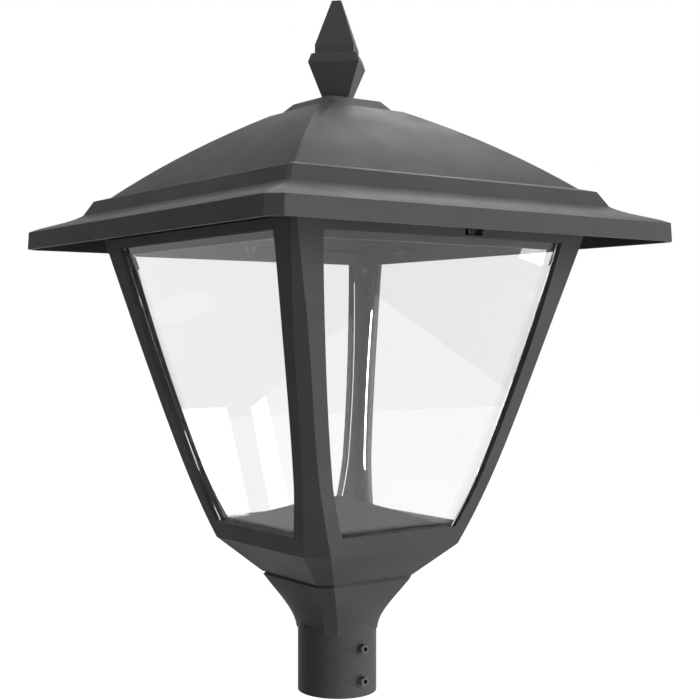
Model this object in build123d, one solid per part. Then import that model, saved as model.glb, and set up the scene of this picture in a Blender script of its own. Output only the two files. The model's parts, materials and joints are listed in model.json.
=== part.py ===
from build123d import *
import os

# A square lantern that stands on a round post. The origin is at the mouth of the post bore,
# +Z is up, -Y is the front (set screws, latch) and +Y the back (hinge). Millimetres throughout.

# --- Post fitting ---
POST_RADIUS = 30.0
POST_CLEARANCE = 1.0
SPIGOT_WALL = 7.0
SPIGOT_LENGTH = 59.7
BORE_DEPTH = 76.0
STOP_THICKNESS = 4.0
NECK_HEIGHT = 50.3
NECK_FOOT_INSET = 6.4
NECK_FOOT_CUT = 8.4
NECK_TOP_HALF = 56.1
NECK_TOP_CUT = 11.3
NECK_WALL = 7.5
NECK_STATIONS = (0, 0.17, 0.36, 0.6, 0.8, 1)
NECK_BULGES = (3.2, 4.5, 4.5, 3.0, 1.6, 0.5)
NECK_SPREAD = (0.19, 1.44, -0.63)
SPIGOT_IN_NECK = 10.0
RIM_HEIGHT = 2.3
RIM_INSET = 0.8
RIM_BEVEL = 1.4
DRAIN_RADIUS = 1.4
DRAIN_DROP = 46.0

# --- Screws that grip the post ---
SET_RADIUS = 4.0
SET_LENGTH = 13.8
SET_PROUD = 7.0
SET_HEIGHTS = (15.9, 46.4)
SET_SOCKET = 4.0
SET_SOCKET_DEPTH = 4.5
SET_BEVEL = 0.6
THREAD_GAP = 0.05

# --- Base of the cage: gasket, sloping pan, shoulder ---
BASE_GASKET = 0.5
GASKET_INSET = 2.6
GASKET_HOLE_RADIUS = 29.6
PAN_FOOT_HALF = 56.7
PAN_FOOT_CUT = 11.1
PAN_HEIGHT = 32.6
PAN_FLOOR = 5.2
PAN_WALL = 7.3
SHOULDER_HALF = 91.4
SHOULDER_CUT = 17.4
LEDGE_THICKNESS = 6.0
LEDGE_RISE = 16.6
CABLE_HOLE_RADIUS = 14.0

# --- Cage above the shoulder ---
CAGE_HEIGHT = 290.6
SILL_RISE = 19.6
SILL_HALF = 97.8
SILL_CUT = 15.1
KNEE_RISE = 64.6
KNEE_SWELL = 1.28
KNEE_CUT = 10.6
WAIST_SHARE = 0.4
WAIST_SWELL = 2.3
WAIST_CUT = 9.15
CHEST_SHARE = 0.84
CHEST_SWELL = 0.9
CHEST_CUT = 5.7
RAIL_HALF = 167.5
RAIL_CUT = 4.0
RAIL_HEIGHT = 9.0

# --- Windows ---
SILL_STEP = 0.6
LEG_AT_SILL = 31.0
LEG_AT_FLARE = 26.8
LEG_AT_KNEE = 24.3
LEG_AT_WAIST = 24.2
LEG_AT_RAIL = 29.3
LIP = 4.0
RAIL_WALL = 8.5
SEAL_THICKNESS = 1.0
SEAL_REVEAL = 0.2
GLASS = 5.0
GLASS_GAP = 0.1
PANE_LAP = 1.5
PANE_SIDE_GAP = 1.0
GLASS_GROOVE = 4.0
GLASS_BELOW_RAIL = 7.0
RETAINER = 2.5
RETAINER_LIP = 1.0
RETAINER_DROP = 14.5
RETAINER_STEP = 5.0
RETAINER_END = 28.0
RETAINER_TOP_GAP = 0.5
RETAINER_SCREW_X = 95.0
FRAME_SCREW_GRIP = 6.0
CLIP_LEG = 18.0
CLIP_DROP = 27.5
CLIP_HEIGHT = 12.7
CLIP_SCREW_SEAT = 7.5

# --- Cover over the wiring space ---
COVER_HALF = 70.0
COVER_EDGE = 2.7
COVER_GAP = 2.5
COVER_RISE = 25.5
COVER_SHELL = 3.0
COVER_CROWN = 1.15
COVER_TIP = 0.8
COVER_SKIRT = 9.0
COVER_SKIRT_WALL = 3.0
ACCESS_HALF = 62.0
ACCESS_GAP = 1.5
COVER_CLIP_WIDTH = 14.0
COVER_CLIP_THICK = 0.8
COVER_HOOK = 2.0
COVER_HOOK_HEIGHT = 1.4

# --- Frame bolts and wiring ---
BOLT_RADIUS = 3.0
BOLT_X = 38.0
BOLT_HEAD_RADIUS = 5.0
BOLT_HEAD = 6.0
BOLT_DEPTH = 12.0
BOLT_SHORT = 1.0
BOLT_SOCKET = 5.0
BOLT_SOCKET_DEPTH = 3.0
BOLT_BOSS_RADIUS = 7.0
BOLT_BOSS_FLOOR = 3.0
GLAND_RADIUS = 8.0
GLAND_ACROSS = 24.0
GLAND_BORE = 5.0
GLAND_BODY = 7.0
GLAND_CAP = 9.0
GLAND_CAP_RADIUS = 11.0
GLAND_CAP_BEVEL = 2.5
TERMINAL = (52.0, 22.0, 17.0)
TERMINAL_Y = -22.0
TERMINAL_WAYS = 3
TERMINAL_WIRE = 2.2
TERMINAL_GRIP = 2.6
TERMINAL_GRIP_DEPTH = 4.0
TERMINAL_FOOT = 4.0
FLOOR_SCREW_DEPTH = 4.0
EARTH_AT = (0.0, 30.0)
EARTH_TAG = 1.0
EARTH_TAG_RADIUS = 6.0
EARTH_TAG_HALF = 3.0
EARTH_TAG_REACH = 14.0
EARTH_HEAD = 3.7

# --- Canopy ---
CANOPY_SEAL = 2.0
CANOPY_REST = 0.2
SEAL_OUT = 1.0
SEAL_IN = 0.7
SHELL = 3.5
BAND_WALL_MORE = 0.5
BAND_FACE_LESS = 1.6
EAVE_ROOF_LESS = 1.3
BAND_FOOT_DROP = 2.8
DOME_FOOT_WALL = 0.65
DOME_TOP_WALL = 0.45
FASCIA_DROP = 7.9
FASCIA_HEIGHT = 16.9
FASCIA_LEAN = 0.7
FASCIA_CUT = 11.0
EAVE_OVERHANG = 59.3
SKIRT_RISE = 16.5
SKIRT_SAG = 0.7
COVE_WIDTH = 7.2
COVE_SAG = 1.1
COVE_CUT_MORE = 1.4
BAND_OVERHANG = 15.4
BAND_HEIGHT = 14.1
BAND_LEAN = 8.0
BAND_CUT = 2.4
DOME_STEP_IN = 13.0
DOME_STEP_UP = 3.4
DOME_RISE = 76.0
DOME_TOP_HALF = 50.4
DOME_CROWN = 4.1
DOME_CUTS = (0.6, 1.9, 3.1, 4.6, 6.6, 9.0)
RING_IN = 4.0
RING_WALL = 3.0

# --- Collar and finial ---
COLLAR_HALF = 44.8
COLLAR_CUT = 10.9
COLLAR_TOP_HALF = 31.9
COLLAR_TOP_CUT = 3.9
COLLAR_HEIGHT = 11.2
FINIAL_FOOT = 11.3
FINIAL_WIDEST = 24.5
FINIAL_WIDEST_RISE = 36.2
FINIAL_SHOULDER = 21.8
FINIAL_SHOULDER_RISE = 44.6
FINIAL_BAND = 18.7
FINIAL_BAND_RISE = 46.0
FINIAL_SPIRE_RISE = 53.6
FINIAL_TIP = 4.4
FINIAL_HEIGHT = 98.8
STUD_RADIUS = 4.0
STUD_IN_FINIAL = 24.0
STUD_BELOW = 4.0
WASHER_RADIUS = 9.0
WASHER = 2.0
NUT_ACROSS = 13.0
NUT = 6.5

# --- Gear in the canopy ---
TRAY_LIFT = 14.0
TRAY = 2.0
TRAY_GAP = 0.5
TRAY_BOSS_IN = 16.0
TRAY_BOSS_RADIUS = 6.0
TRAY_SCREW_GRIP = 12.0
TRAY_HOLE_DEPTH = 14.0
LAMP_OPENING = 40.0
LENS_RADIUS = 47.0
LENS = 3.0
LENS_GAP = 0.1
LENS_LIP = 3.0
LENS_RING_RADIUS = 53.0
LENS_RING = 5.0
LED_BOARD_RADIUS = 52.0
LED_BOARD = 1.6
LEDS = 12
LED_CIRCLE = 24.0
LED = (5.0, 5.0, 1.0)
SINK_HALF = 55.0
SINK_BASE = 6.0
SINK_FIN = 22.0
SINK_FIN_WALL = 2.5
SINK_FINS = 9
SINK_SCREW_X = 46.0
SINK_SCREW_ROOF = 1.0
SINK_SCREW_SHORT = 2.0
SPACER_RADIUS = 5.0
DRIVER = (120.0, 44.0, 28.0)
DRIVER_IN = 55.0
DRIVER_CORNER = 3.0
DRIVER_TAB = 12.0
DRIVER_TAB_THICK = 2.0

# --- Hinge at the back ---
HINGE_OUT = 7.5
HINGE_RISE = 2.0
HINGE_X = (-10.0, 7.0)
HINGE_GAP = 0.8
HINGE_EAR = 4.7
KNUCKLE_RADIUS = 5.5
PIN_RADIUS = 2.5
PIN_HEAD = 1.5
PIN_HEAD_RADIUS = 4.0
BRACKET_LEG = 6.0
BRACKET_DROP = 5.3
BRACKET_TOP = 11.0
BRACKET_OVER = 3.0
BRACKET_NOSE = 3.0
BRACKET_BROW = 6.0
BRACKET_SCREW_GRIP = 6.5
ARM_PLATE = 3.0
ARM_GAP = 2.0
ARM_HEIGHT = 21.0
ARM_FLANGE = 9.0
ARM_MARGIN = 5.0
ARM_HEEL = 5.2
ARM_TOE = 1.5
ARM_SCREW_LIFT = 9.0
ARM_SCREW_GRIP = 4.0
HINGE_BOSS = 6.0
HINGE_BOSS_LIFT = 2.0
HINGE_BOSS_HEIGHT = 14.0
HINGE_SLOT_GAP = 2.0

# --- Quarter-turn latch at the front ---
LATCH_X = 25.5
LATCH_DROP = 3.0
NOTCH_HALF = 10.3
NOTCH_DROP = 7.3
LUG_HALF = 13.5
LUG_INNER = 10.0
LUG_RISE = 1.5
LATCH_RADIUS = 2.5
LATCH_HEAD_RADIUS = 4.0
LATCH_HEAD = 3.2
LATCH_ROUND = 0.8
LATCH_SLOT_HALF = 0.6
LATCH_SLOT_DEPTH = 1.2
LATCH_GAP = 0.5
FINGER = 2.0
FINGER_LENGTH = 12.0
FINGER_HALF = 2.0
HOOK = 2.0
HOOK_FOOT = 2.0
HOOK_FLANGE = 2.0
HOOK_SCREW_IN = 7.0
HOOK_SCREW_EDGE = 4.0
HOOK_SCREW_SIDE = 3.0
HOOK_FOOT_X = (4.2, 16.5)
HOOK_STEM = 4.0

# --- Small screws ---
M4 = 2.0
M4_HEAD = 3.5
M4_HEAD_HEIGHT = 2.4
M3 = 1.5
M3_HEAD = 2.7
M3_HEAD_HEIGHT = 1.8
CLEAR = 0.2
SEAT = 0.3
OVERRUN = 1.0
HOLE_END = 0.5

# --- Heights and places that follow from the sizes above ---
BORE_RADIUS = POST_RADIUS + POST_CLEARANCE
SPIGOT_RADIUS = BORE_RADIUS + SPIGOT_WALL
NECK_TOP = SPIGOT_LENGTH + NECK_HEIGHT
RIM_TOP = NECK_TOP + RIM_HEIGHT
PAN_FOOT = RIM_TOP + BASE_GASKET
FLOOR_TOP = PAN_FOOT + PAN_FLOOR
SHOULDER = PAN_FOOT + PAN_HEIGHT
LEDGE_TOP = SHOULDER + LEDGE_RISE
LEDGE_UNDER = LEDGE_TOP - LEDGE_THICKNESS
SILL = SHOULDER + SILL_RISE
KNEE = SHOULDER + KNEE_RISE
COVER_FOOT = LEDGE_TOP - SILL_STEP + CLEAR
RAIL_TOP = SHOULDER + CAGE_HEIGHT
RAIL_UNDER = RAIL_TOP - RAIL_HEIGHT
WAIST = KNEE + (RAIL_TOP - KNEE) * WAIST_SHARE
CHEST = KNEE + (RAIL_TOP - KNEE) * CHEST_SHARE
GLASS_TOP = RAIL_TOP - GLASS_BELOW_RAIL
RETAINER_TOP = RAIL_TOP - RETAINER_TOP_GAP
RETAINER_FOOT = RAIL_TOP - RETAINER_DROP
STOP_TOP = BORE_DEPTH + STOP_THICKNESS
SEAL_TOP = RAIL_TOP + CANOPY_SEAL
RING_FOOT = SEAL_TOP + CANOPY_REST
FASCIA_FOOT = RAIL_TOP - FASCIA_DROP
FASCIA_TOP = FASCIA_FOOT + FASCIA_HEIGHT
BAND_FOOT = FASCIA_TOP + SKIRT_RISE
BAND_TOP = BAND_FOOT + BAND_HEIGHT
DOME_FOOT = BAND_TOP + DOME_STEP_UP
DOME_TOP = DOME_FOOT + DOME_RISE
COLLAR_TOP = DOME_TOP + COLLAR_HEIGHT
EAVE_HALF = RAIL_HALF + EAVE_OVERHANG
BAND_HALF = RAIL_HALF + BAND_OVERHANG
DOME_HALF = BAND_HALF - BAND_LEAN - DOME_STEP_IN
RING_OUTER = RAIL_HALF - RING_IN
RING_INNER = RING_OUTER - RING_WALL
TRAY_UNDER = RAIL_TOP + TRAY_LIFT
TRAY_TOP = TRAY_UNDER + TRAY
TRAY_HALF = RING_INNER - TRAY_GAP
BOSS_X = RING_INNER - TRAY_BOSS_IN
DRIVER_Y = TRAY_HALF - DRIVER_IN
BOARD_UNDER = TRAY_TOP + LENS_RING
SINK_UNDER = BOARD_UNDER + LED_BOARD
HINGE_Y = RAIL_HALF + HINGE_OUT
HINGE_Z = RAIL_TOP + HINGE_RISE
LATCH_Z = RAIL_TOP - LATCH_DROP
LATCH_FRONT = -(RING_INNER - LATCH_GAP)
HOOK_FRONT = LATCH_FRONT + LUG_INNER + LATCH_GAP


# --- General shapes ---
def octagon(z, half, cut):
    """A square outline of this half-width at height z, with its corners cut off."""
    flat = half - cut
    return [(x, y, z) for x, y in ((half, -flat), (half, flat), (flat, half), (-flat, half),
                                   (-half, flat), (-half, -flat), (-flat, -half), (flat, -half))]


def square(z, half):
    return [(half, -half, z), (half, half, z), (-half, half, z), (-half, -half, z)]


def flat_sided(*levels):
    """A solid with flat sides that joins outlines whose edges are parallel, from the foot up."""
    sides = [face for low, high in zip(levels, levels[1:])
             for face in (polygon(low[i - 1], low[i], high[i], high[i - 1]) for i in range(len(low)))]
    return Solid(Shell([polygon(*levels[0]), polygon(*levels[-1])] + sides))


def polygon(*points):
    return Face(Wire.make_polygon([Vector(*point) for point in points]))


def smooth_sided(levels):
    """A solid that runs smoothly through outlines at different heights."""
    return loft([polygon(*level) for level in levels])


def block(x, y, z):
    """A box between two values on each axis."""
    low, high = zip(sorted(x), sorted(y), sorted(z))
    size = [b - a for a, b in zip(low, high)]
    return Pos(*low) * Box(*size, align=(Align.MIN, Align.MIN, Align.MIN))


def rod(radius, start, end):
    """A round bar from one point to another."""
    way = Vector(*end) - Vector(*start)
    bar = Cylinder(radius, way.length, align=(Align.CENTER, Align.CENTER, Align.MIN))
    return Plane(origin=start, z_dir=way) * bar


def hex_bar(across, start, end):
    way = Vector(*end) - Vector(*start)
    bar = extrude(RegularPolygon(across / 2, 6, major_radius=False), way.length)
    return Plane(origin=start, z_dir=way) * bar


def side_profile(points, x):
    """A plate standing across X, whose outline is given as (y, z) points."""
    outline = make_face(Polyline(*[(x[0], y, z) for y, z in points], close=True))
    return extrude(outline, x[1] - x[0], dir=(1, 0, 0))


def around(shape, start=0):
    """The four copies of a shape, one on each side."""
    return [Rot(0, 0, start + 90 * turn) * shape for turn in range(4)]


def group(shapes):
    """Separate solids that share one node."""
    return Compound(children=[solid for shape in shapes for solid in shape.solids()])


def screw(radius, head_radius, head, start, end):
    """A pan head screw: start is the seat under the head, end is the tip."""
    way = (Vector(*end) - Vector(*start)).normalized()
    top = Vector(*start) - way * head
    return rod(radius, start, end) + rod(head_radius, tuple(top), start)


# --- Shape of the cage ---
def window_plane(z):
    """Half-width of the flat plane that the glass lies parallel to."""
    slope = (RAIL_HALF - SILL_HALF) / (RAIL_TOP - SILL)
    return SILL_HALF + (z - SILL) * slope


CAGE_SECTIONS = [
    (SHOULDER, SHOULDER_HALF, SHOULDER_CUT),
    (SILL, SILL_HALF, SILL_CUT),
    (KNEE, window_plane(KNEE) + KNEE_SWELL, KNEE_CUT),
    (WAIST, window_plane(WAIST) + WAIST_SWELL, WAIST_CUT),
    (CHEST, window_plane(CHEST) + CHEST_SWELL, CHEST_CUT),
    (RAIL_TOP, RAIL_HALF, RAIL_CUT),
]


def cage_half(z):
    """Half-width of the cage's outside at height z."""
    for (low, start, _), (high, end, _) in zip(CAGE_SECTIONS, CAGE_SECTIONS[1:]):
        if z <= high:
            return start + (end - start) * (z - low) / (high - low)
    return RAIL_HALF


def side_slab(outer, inner, end, low, high):
    """A slab on the front side, parallel to the window plane and this far in from it."""
    ends = []
    for z in (low, high):
        half = window_plane(z)
        x, front, back = half - end, outer - half, inner - half
        ends.append([(-x, front, z), (x, front, z), (x, back, z), (-x, back, z)])
    return flat_sided(*ends)


def window(grow=0.0, reach=0.0):
    """A bar through the front side in the shape of the window, its posts flared at the foot.

    It is wider by grow on each side, and it runs on by reach past the window's foot and head."""
    foot = LEDGE_TOP + SILL_STEP
    flare = (foot + KNEE) / 2
    legs = [(foot, LEG_AT_SILL), (flare, LEG_AT_FLARE), (KNEE, LEG_AT_KNEE),
            (WAIST, LEG_AT_WAIST), (RAIL_UNDER, LEG_AT_RAIL)]
    right = [(cage_half(z) - leg + grow, z) for z, leg in legs]
    left = [(-x, z) for x, z in right]
    outline = window_end(left[0], right[0], -reach) + window_end(right[4], left[4], reach) + [
        ThreePointArc(right[0], right[1], right[2]),
        ThreePointArc(right[2], right[3], right[4]),
        ThreePointArc(left[4], left[3], left[2]),
        ThreePointArc(left[2], left[1], left[0]),
    ]
    return extrude(Plane.XZ * make_face(outline), 2 * RAIL_HALF)


def window_end(start, end, reach):
    """The straight foot or head of the window's outline, moved out by reach."""
    points = [start, end]
    if reach:
        points = [start, (start[0], start[1] + reach), (end[0], end[1] + reach), end]
    return [Line(a, b) for a, b in zip(points, points[1:])]


def window_slab(outer, inner, grow, low, high):
    """A slab between two depths behind the window plane, cut to the window's outline."""
    return (side_slab(outer, inner, 0, low, high) & window(grow, RAIL_HEIGHT + OVERRUN)).solid()


# --- Post fitting and its screws ---
def neck_section(share, bulge):
    """The neck's section: a square with cut corners whose sides bulge towards the round spigot."""
    foot = SPIGOT_RADIUS - NECK_FOOT_INSET
    spread = sum(part * share**(power + 1) for power, part in enumerate(NECK_SPREAD))
    half = foot + (NECK_TOP_HALF - foot) * spread
    flat = half - NECK_FOOT_CUT - (NECK_TOP_CUT - NECK_FOOT_CUT) * share
    side = ThreePointArc((-flat, -half), (0, -half - bulge), (flat, -half))
    corner = Line((flat, -half), (half, -flat))
    edges = around(side) + around(corner)
    return Pos(0, 0, SPIGOT_LENGTH + NECK_HEIGHT * share) * make_face(edges)


def post_fitter():
    neck = loft([neck_section(s, b) for s, b in zip(NECK_STATIONS, NECK_BULGES)])
    rim_half = NECK_TOP_HALF - RIM_INSET
    rim = flat_sided(octagon(NECK_TOP, rim_half, NECK_TOP_CUT),
                     octagon(RIM_TOP, rim_half - RIM_BEVEL, NECK_TOP_CUT))
    spigot = rod(SPIGOT_RADIUS, (0, 0, 0), (0, 0, SPIGOT_LENGTH + SPIGOT_IN_NECK))
    body = spigot + neck + rim
    hollow = flat_sided(octagon(STOP_TOP, BORE_RADIUS, NECK_FOOT_CUT),
                        octagon(RIM_TOP, NECK_TOP_HALF - NECK_WALL, NECK_FOOT_CUT))
    body -= hollow
    for x, y in bolt_places():
        boss = rod(BOLT_BOSS_RADIUS, (x, y, RIM_TOP - BOLT_DEPTH - BOLT_BOSS_FLOOR), (x, y, RIM_TOP))
        body += boss & (neck + rim)
    body -= rod(BORE_RADIUS, (0, 0, 0), (0, 0, BORE_DEPTH))
    body -= rod(GLAND_RADIUS + THREAD_GAP, (0, 0, BORE_DEPTH), (0, 0, STOP_TOP))
    for x, y in bolt_places():
        body -= rod(BOLT_RADIUS + THREAD_GAP, (x, y, RIM_TOP - BOLT_DEPTH), (x, y, RIM_TOP))
    for z in SET_HEIGHTS:
        body -= rod(SET_RADIUS + THREAD_GAP, (0, -2 * SPIGOT_RADIUS, z), (0, 0, z))
    drain_z = NECK_TOP - DRAIN_DROP
    body -= rod(DRAIN_RADIUS, (-2 * SPIGOT_RADIUS, 0, drain_z), (0, 0, drain_z))
    return body


def bolt_places():
    return [(x, y) for x in (-BOLT_X, BOLT_X) for y in (-BOLT_X, BOLT_X)]


def set_screw(z):
    """A grub screw whose tip is flush with the bore while no post is in it."""
    outer = -(SPIGOT_RADIUS + SET_PROUD)
    body = rod(SET_RADIUS, (0, outer, z), (0, outer + SET_LENGTH, z))
    body = chamfer(body.edges().filter_by(GeomType.CIRCLE), SET_BEVEL)
    return body - hex_bar(SET_SOCKET, (0, outer, z), (0, outer + SET_SOCKET_DEPTH, z))


def base_gasket():
    half = NECK_TOP_HALF - GASKET_INSET
    sheet = flat_sided(octagon(RIM_TOP, half, NECK_TOP_CUT), octagon(PAN_FOOT, half, NECK_TOP_CUT))
    sheet -= rod(GASKET_HOLE_RADIUS, (0, 0, RIM_TOP), (0, 0, PAN_FOOT))
    for x, y in bolt_places():
        sheet -= rod(BOLT_RADIUS + CLEAR, (x, y, RIM_TOP), (x, y, PAN_FOOT))
    return sheet


def frame_bolts():
    bolts = []
    for x, y in bolt_places():
        bolt = screw(BOLT_RADIUS, BOLT_HEAD_RADIUS, BOLT_HEAD, (x, y, FLOOR_TOP),
                     (x, y, RIM_TOP - BOLT_DEPTH + BOLT_SHORT))
        top = FLOOR_TOP + BOLT_HEAD
        bolts.append(bolt - hex_bar(BOLT_SOCKET, (x, y, top - BOLT_SOCKET_DEPTH), (x, y, top)))
    return group(bolts)


# --- Cage ---
def cage_frame():
    pan = flat_sided(octagon(PAN_FOOT, PAN_FOOT_HALF, PAN_FOOT_CUT),
                     octagon(SHOULDER, SHOULDER_HALF, SHOULDER_CUT))
    body = pan + smooth_sided([octagon(*section) for section in CAGE_SECTIONS])
    body -= wiring_space()
    body -= lamp_space()
    for opening in around(window()):
        body -= opening
    body -= cover_seat()
    body -= rod(CABLE_HOLE_RADIUS, (0, 0, PAN_FOOT), (0, 0, FLOOR_TOP))
    for x, y in bolt_places():
        body -= rod(BOLT_RADIUS + CLEAR, (x, y, PAN_FOOT), (x, y, FLOOR_TOP))
    return latch_seat(body) - frame_screw_holes()


def wiring_space():
    """The hollow in the pan, under the ledge."""
    rise = (FLOOR_TOP - PAN_FOOT) / PAN_HEIGHT
    foot_half = PAN_FOOT_HALF + (SHOULDER_HALF - PAN_FOOT_HALF) * rise - PAN_WALL
    return flat_sided(octagon(FLOOR_TOP, foot_half, PAN_FOOT_CUT),
                      octagon(SHOULDER, SHOULDER_HALF - PAN_WALL, SHOULDER_CUT),
                      octagon(LEDGE_UNDER, cage_half(LEDGE_UNDER) - PAN_WALL, SHOULDER_CUT))


def glass_inner():
    """How far the inner face of the glass lies in from the window plane, in plan."""
    return LIP + SEAL_THICKNESS + GLASS_GAP + GLASS


def lamp_space():
    """The space between the panes, and the slots that the panes stand in."""
    core = glass_inner() + CLEAR
    space = flat_sided(square(LEDGE_TOP, clip_corner(LEDGE_TOP)), square(RAIL_TOP, clip_corner(RAIL_TOP)))
    head = GLASS_TOP + SEAT
    glass_slot = window_slab(LIP, core + SEAT, PANE_LAP + PANE_SIDE_GAP, LEDGE_TOP - GLASS_GROOVE, head)
    rail_slot = side_slab(RAIL_WALL, core + SEAT, RETAINER_END - PANE_SIDE_GAP, head, RAIL_TOP)
    for side in around(glass_slot) + around(rail_slot):
        space += side
    return space


def cover_seat():
    """The rebate that the wiring cover lies in, and the access hole under it."""
    half = COVER_HALF + COVER_GAP
    low = COVER_FOOT - COVER_EDGE
    rebate = block((-half, half), (-half, half), (low, LEDGE_TOP))
    access = block((-ACCESS_HALF, ACCESS_HALF), (-ACCESS_HALF, ACCESS_HALF), (LEDGE_UNDER, low))
    return rebate + access


def latch_seat(body):
    """The notch in the front rail, with a drilled lug behind it for the latch."""
    back = LATCH_FRONT + LUG_INNER
    lug = block((LATCH_X - LUG_HALF, LATCH_X + LUG_HALF), (-rail_inner(LATCH_Z) - OVERRUN, back),
                (GLASS_TOP + CLEAR * 2, RAIL_TOP + LUG_RISE))
    notch = block((LATCH_X - NOTCH_HALF, LATCH_X + NOTCH_HALF), (-RAIL_HALF - OVERRUN, LATCH_FRONT),
                  (RAIL_TOP - NOTCH_DROP, RAIL_TOP + LUG_RISE))
    bore = rod(LATCH_RADIUS + THREAD_GAP, (LATCH_X, LATCH_FRONT, LATCH_Z), (LATCH_X, back, LATCH_Z))
    return body + lug - notch - bore


def rail_inner(z):
    """Half-width of the top rail's inside, above the glass."""
    return window_plane(z) - RAIL_WALL


def frame_screw_holes():
    """Blind holes for the screws that hold the retainers, the clips, the hinge and the wiring."""
    holes = [hole for x in (-RETAINER_SCREW_X, RETAINER_SCREW_X)
             for hole in around(retainer_screw(x, M3 + THREAD_GAP, 0))]
    holes += around(clip_screw(M3 + THREAD_GAP, 0))
    holes += [hinge_screw(x, M4 + THREAD_GAP, 0) for x in hinge_screw_places()]
    holes += [floor_screw(x, y, M3 + THREAD_GAP) for x, y in floor_screw_places()]
    return holes


# --- Glazing ---
def pane():
    """The front pane: flat glass that is tilted with the posts and cut to the window's outline."""
    outer = LIP + SEAL_THICKNESS + GLASS_GAP
    return window_slab(outer, outer + GLASS, PANE_LAP, LEDGE_TOP - GLASS_GROOVE + SEAT, GLASS_TOP)


def pane_gaskets():
    foot = LEDGE_TOP - GLASS_GROOVE + SEAT
    frame = window_slab(LIP, LIP + SEAL_THICKNESS, PANE_LAP, foot, GLASS_TOP)
    return group(around(frame - window(SEAL_REVEAL)))


def pane_retainers():
    """Four bars along the top rail that keep the glass in."""
    back = glass_inner()
    step = RETAINER_FOOT + RETAINER_STEP
    bar = side_slab(back, back + RETAINER + RETAINER_LIP, RETAINER_END, RETAINER_FOOT, step)
    bar += side_slab(back, back + RETAINER, RETAINER_END, step, RETAINER_TOP)
    bar += side_slab(RAIL_WALL, back, RETAINER_END, GLASS_TOP + SEAT, RETAINER_TOP)
    bars = around(bar)
    y = window_plane(RAIL_TOP)
    lug = LUG_HALF + OVERRUN
    low = GLASS_TOP - OVERRUN
    bars[0] -= block((LATCH_X - lug, LATCH_X + lug + HOOK_STEM), (-y, 0), (low, RAIL_TOP))
    bars[2] -= block((HINGE_X[0] - OVERRUN, HINGE_X[1] + OVERRUN), (0, y), (low, RAIL_TOP))
    drilled = []
    z = (GLASS_TOP + SEAT + RETAINER_TOP) / 2
    seat = -(window_plane(z) - glass_inner())
    for turn, piece in enumerate(bars):
        for x in (-RETAINER_SCREW_X, RETAINER_SCREW_X):
            pocket = rod(M3_HEAD + CLEAR, (x, seat + 2 * RETAINER, z), (x, seat, z))
            piece -= Rot(0, 0, 90 * turn) * (retainer_screw(x, M3 + CLEAR, 0) + pocket)
        drilled.append(piece)
    return group(drilled)


def retainer_screw(x, radius=M3, head=M3_HEAD):
    """A screw through the top of the front retainer into the rail; head 0 gives its hole."""
    z = (GLASS_TOP + SEAT + RETAINER_TOP) / 2
    seat = -(window_plane(z) - glass_inner())
    tip = -rail_inner(z) - FRAME_SCREW_GRIP
    if not head:
        return rod(radius, (x, seat + RETAINER, z), (x, tip - HOLE_END, z))
    return screw(radius, head, M3_HEAD_HEIGHT, (x, seat, z), (x, tip, z))


def retainer_screws():
    return group([piece for x in (-RETAINER_SCREW_X, RETAINER_SCREW_X)
                  for piece in around(retainer_screw(x))])


def clip_corner(z):
    """Half-width at which the corner cores of the cage begin."""
    return window_plane(z) - glass_inner() - CLEAR


def clip_middle():
    """Height of a clip's screw, and the corner and screw seat at that height."""
    z = RAIL_TOP - CLIP_DROP + CLIP_HEIGHT / 2
    return z, clip_corner(z), clip_corner(z) - CLIP_SCREW_SEAT


def clip_screw(radius=M3, head=M3_HEAD):
    """A screw along the diagonal into the corner post; head 0 gives its hole."""
    z, corner, seat = clip_middle()
    tip = corner + FRAME_SCREW_GRIP
    if not head:
        return rod(radius, (seat, seat, z), (tip + HOLE_END, tip + HOLE_END, z))
    return screw(radius, head, M3_HEAD_HEIGHT, (seat, seat, z), (tip, tip, z))


def glazing_clips():
    """A wedge in each upper corner of the cage that holds the edges of two panes."""
    ends = []
    for z in (RAIL_TOP - CLIP_DROP, RAIL_TOP - CLIP_DROP + CLIP_HEIGHT):
        corner = clip_corner(z)
        ends.append([(corner, corner, z), (corner - CLIP_LEG, corner, z), (corner, corner - CLIP_LEG, z)])
    z, _, seat = clip_middle()
    pocket = rod(M3_HEAD + CLEAR, (seat - CLIP_LEG, seat - CLIP_LEG, z), (seat, seat, z))
    return group(around(flat_sided(*ends) - clip_screw(M3 + CLEAR, 0) - pocket))


def clip_screws():
    return group(around(clip_screw()))


# --- Wiring cover and what lies under it ---
def cover_hill(z, half, rise):
    """A low pyramid with slightly crowned sides."""
    faces = []
    for share in (0, 1 / 3, 2 / 3, 1):
        crown = COVER_CROWN * 4 * share * (1 - share)
        faces.append(square(z + rise * share + crown, half + (COVER_TIP - half) * share))
    return smooth_sided(faces)


def gear_cover():
    top = COVER_FOOT
    half = COVER_HALF
    body = block((-half, half), (-half, half), (top - COVER_EDGE, top)) + cover_hill(top, half, COVER_RISE)
    skirt = ACCESS_HALF - ACCESS_GAP
    body += block((-skirt, skirt), (-skirt, skirt), (top - COVER_SKIRT, top))
    inside = skirt - COVER_SKIRT_WALL
    body -= block((-inside, inside), (-inside, inside), (top - COVER_SKIRT, top - COVER_SHELL))
    hollow_rise = COVER_RISE * inside / half - COVER_SHELL
    return body - cover_hill(top - COVER_SHELL, inside, hollow_rise + COVER_SHELL / 2)


def cover_clips():
    """Spring strips on the cover's skirt that snap under the ledge."""
    skirt = ACCESS_HALF - ACCESS_GAP
    half = COVER_CLIP_WIDTH / 2
    under = LEDGE_UNDER - SEAT
    foot = COVER_FOOT - COVER_SKIRT
    strip = block((-half, half), (-skirt - COVER_CLIP_THICK, -skirt), (foot, COVER_FOOT - COVER_EDGE - SEAT))
    hook = block((-half, half), (-ACCESS_HALF - COVER_HOOK, -skirt),
                 (max(foot, under - COVER_HOOK_HEIGHT), under))
    return group(around(strip + hook))


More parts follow.
